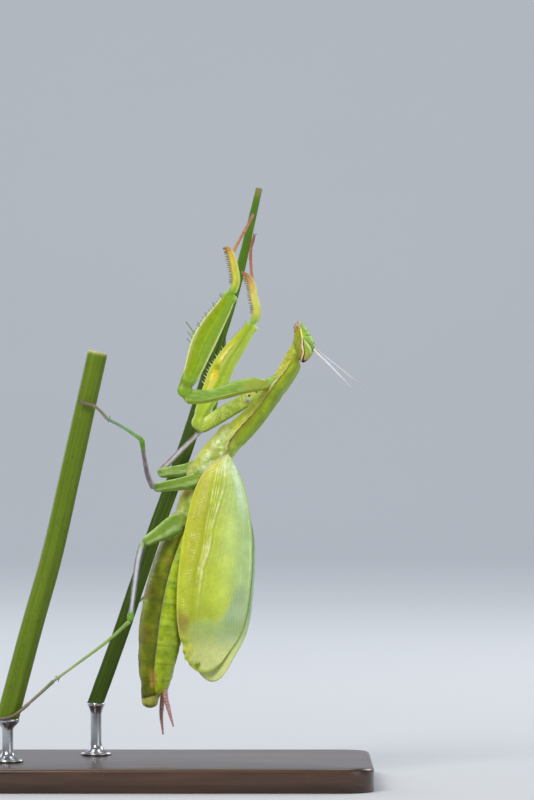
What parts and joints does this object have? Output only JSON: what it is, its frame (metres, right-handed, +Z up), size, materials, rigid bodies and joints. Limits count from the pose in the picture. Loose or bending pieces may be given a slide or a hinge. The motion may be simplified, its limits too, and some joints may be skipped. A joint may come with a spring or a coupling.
{
  "type": "praying mantis",
  "caption": "Life-size still model of a green praying mantis with fresh hanging wings, clinging head up to two cut plant stems on a flat display base.",
  "frame": {"origin": "middle of the base underside", "axes": "+Z up, with the base's flat underside facing -Z; +X is the way the back faces, and -Y is the mantis's left side"},
  "size_m": [0.065, 0.044, 0.0986],
  "materials": {
    "green_skin": "satin",
    "pale_skin": "satin",
    "pale_leg_skin": "satin",
    "tarsus_skin": "satin",
    "mouth_skin": "satin",
    "eye": "gloss",
    "antenna": "matte",
    "tegmen": "satin",
    "hindwing": "satin",
    "rush": "satin",
    "blade": "matte",
    "base_wood": "satin",
    "rod_steel": "brushed"
  },
  "bodies": {
    "root": {"prothorax": "green_skin", "mesothorax": "pale_skin", "metathorax": "pale_skin", "abdomen": "green_skin", "subgenital_plate": "pale_skin", "head": "green_skin", "mouthparts": "mouth_skin", "neck": "green_skin", "eye_left": "eye", "antenna_left": "antenna", "eye_right": "eye", "antenna_right": "antenna", "perch_rush": "rush", "perch_blade": "blade", "stand_base": "base_wood", "stand_rod_rush": "rod_steel", "stand_rod_blade": "rod_steel", "tegmen_left": "tegmen", "hindwing_left": "hindwing", "tegmen_right": "tegmen", "hindwing_right": "hindwing", "foreleg_left_coxa": "green_skin", "foreleg_left_femur": "green_skin", "foreleg_left_tibia": "green_skin", "foreleg_left_tarsus": "tarsus_skin", "foreleg_right_coxa": "green_skin", "foreleg_right_femur": "green_skin", "foreleg_right_tibia": "green_skin", "foreleg_right_tarsus": "tarsus_skin", "midleg_left_coxa": "green_skin", "midleg_left_femur": "pale_leg_skin", "midleg_left_tibia": "green_skin", "midleg_left_tarsus": "tarsus_skin", "midleg_right_coxa": "green_skin", "midleg_right_femur": "pale_leg_skin", "midleg_right_tibia": "green_skin", "midleg_right_tarsus": "tarsus_skin", "hindleg_left_coxa": "green_skin", "hindleg_left_femur": "pale_leg_skin", "hindleg_left_tibia": "green_skin", "hindleg_left_tarsus": "tarsus_skin", "hindleg_right_coxa": "green_skin", "hindleg_right_femur": "pale_leg_skin", "hindleg_right_tibia": "green_skin", "hindleg_right_tarsus": "tarsus_skin", "cercus_left": "mouth_skin", "cercus_right": "mouth_skin"}
  },
  "joints": []
}
